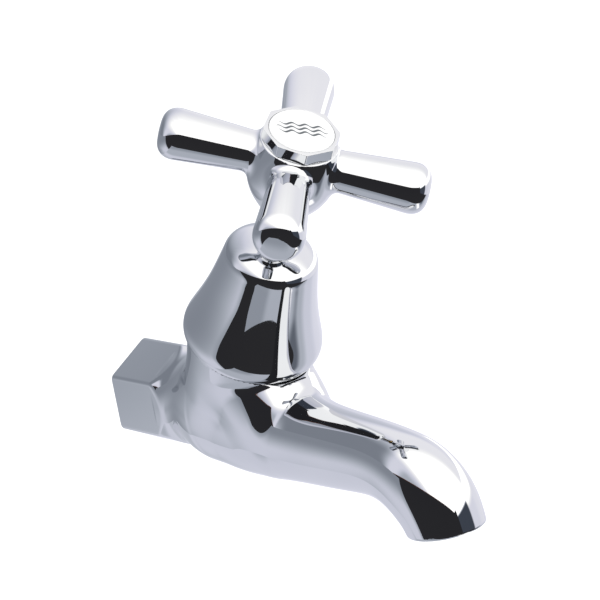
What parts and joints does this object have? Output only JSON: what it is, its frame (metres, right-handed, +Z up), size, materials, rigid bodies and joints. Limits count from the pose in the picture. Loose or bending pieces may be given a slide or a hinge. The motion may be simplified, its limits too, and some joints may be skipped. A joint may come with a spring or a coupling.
{
  "type": "cross handle tap",
  "caption": "Wall-mounted tap with a forward-leaning cross handle, bell-shaped cover, curved spout and hexagonal female inlet.",
  "frame": {"origin": "centre of the female inlet at its end face, against the wall fitting", "axes": "+Y along the inlet towards the wall, the spout reaches along -Y, +Z up as installed, +X to the right seen from the front"},
  "size_m": [0.0588, 0.1375, 0.118],
  "materials": {
    "chrome_body": "polished chrome plate on cast brass",
    "chrome_cover": "polished chrome plate",
    "chrome_handle": "polished chrome plate",
    "brass": "machined",
    "rubber": "moulded",
    "fibre": "pressed fibre washer",
    "packing": "braided packing",
    "outlet_plastic": "moulded",
    "insert_plastic": "moulded",
    "steel": "zinc plated",
    "porcelain": "glazed white ceramic"
  },
  "bodies": {
    "root": {"body_casting": "chrome_body", "valve_seat": "brass", "flow_straightener": "outlet_plastic", "straightener_seal": "rubber", "bonnet": "brass", "bonnet_gasket": "fibre", "gland_packing": "packing", "packing_washer": "brass", "gland_nut": "brass", "bell_cover": "chrome_cover", "bell_seal": "rubber"},
    "jumper": {"jumper_valve": "brass", "tap_washer": "rubber", "washer_nut": "brass"},
    "handle": {"spindle": "brass", "cross_handle": "chrome_handle", "spline_insert": "insert_plastic", "screw_washer": "steel", "handle_screw": "steel", "index_cap": "chrome_handle", "cap_o_ring": "rubber", "index_disc": "porcelain"}
  },
  "joints": [
    {"name": "spindle_lift", "type": "slide", "parent": "root", "child": "jumper", "axis": [0, -0.5592, 0.829], "range_m": [0, 0.0053]},
    {"name": "handle_turn", "type": "hinge", "parent": "jumper", "child": "handle", "pos_m": [0, -0.09017, 0.07378], "axis": [0, -0.5592, 0.829], "range_deg": [0, 630]}
  ],
  "couplings": [
    {"joint": "spindle_lift", "follows": "handle_turn", "m_per_rad": 0.00047746}
  ]
}
